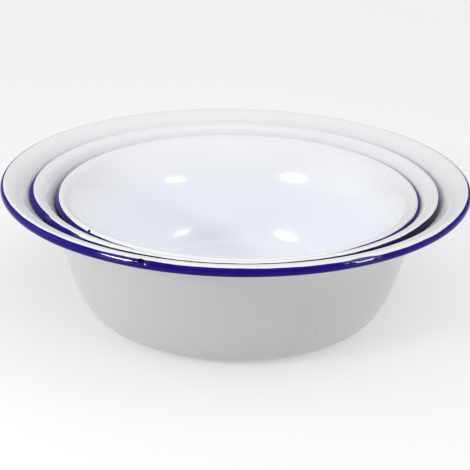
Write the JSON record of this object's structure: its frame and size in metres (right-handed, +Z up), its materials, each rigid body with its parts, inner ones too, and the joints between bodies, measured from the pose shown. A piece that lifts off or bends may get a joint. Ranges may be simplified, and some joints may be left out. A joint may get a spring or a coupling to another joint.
{
  "type": "nest of enamel basins",
  "caption": "Nest of round white enamelled steel basins with flared walls and blue rolled rims, each lifting out of the next.",
  "frame": {"origin": "centre of the large basin's base, on the table", "axes": "+Z up along the large basin's axis; the small basin stands a little off centre towards +X; the picture looks along +Y"},
  "size_m": [0.32, 0.32, 0.0955],
  "materials": {
    "steel": "pressed sheet, sealed inside the enamel",
    "white_enamel": "glossy fired vitreous enamel",
    "blue_enamel": "glossy fired vitreous enamel"
  },
  "bodies": {
    "large_basin": {"large_sheet": "steel", "large_lining": "white_enamel", "large_jacket": "white_enamel", "large_edging": "blue_enamel"},
    "medium_basin": {"medium_sheet": "steel", "medium_lining": "white_enamel", "medium_jacket": "white_enamel", "medium_edging": "blue_enamel"},
    "small_basin": {"small_sheet": "steel", "small_lining": "white_enamel", "small_jacket": "white_enamel", "small_edging": "blue_enamel"}
  },
  "joints": [
    {"name": "medium_lift", "type": "slide", "parent": "large_basin", "child": "medium_basin", "axis": [0, 0, 1], "range_m": [0, 0.115]},
    {"name": "small_lift", "type": "slide", "parent": "medium_basin", "child": "small_basin", "axis": [0, 0, 1], "range_m": [0, 0.105]}
  ]
}
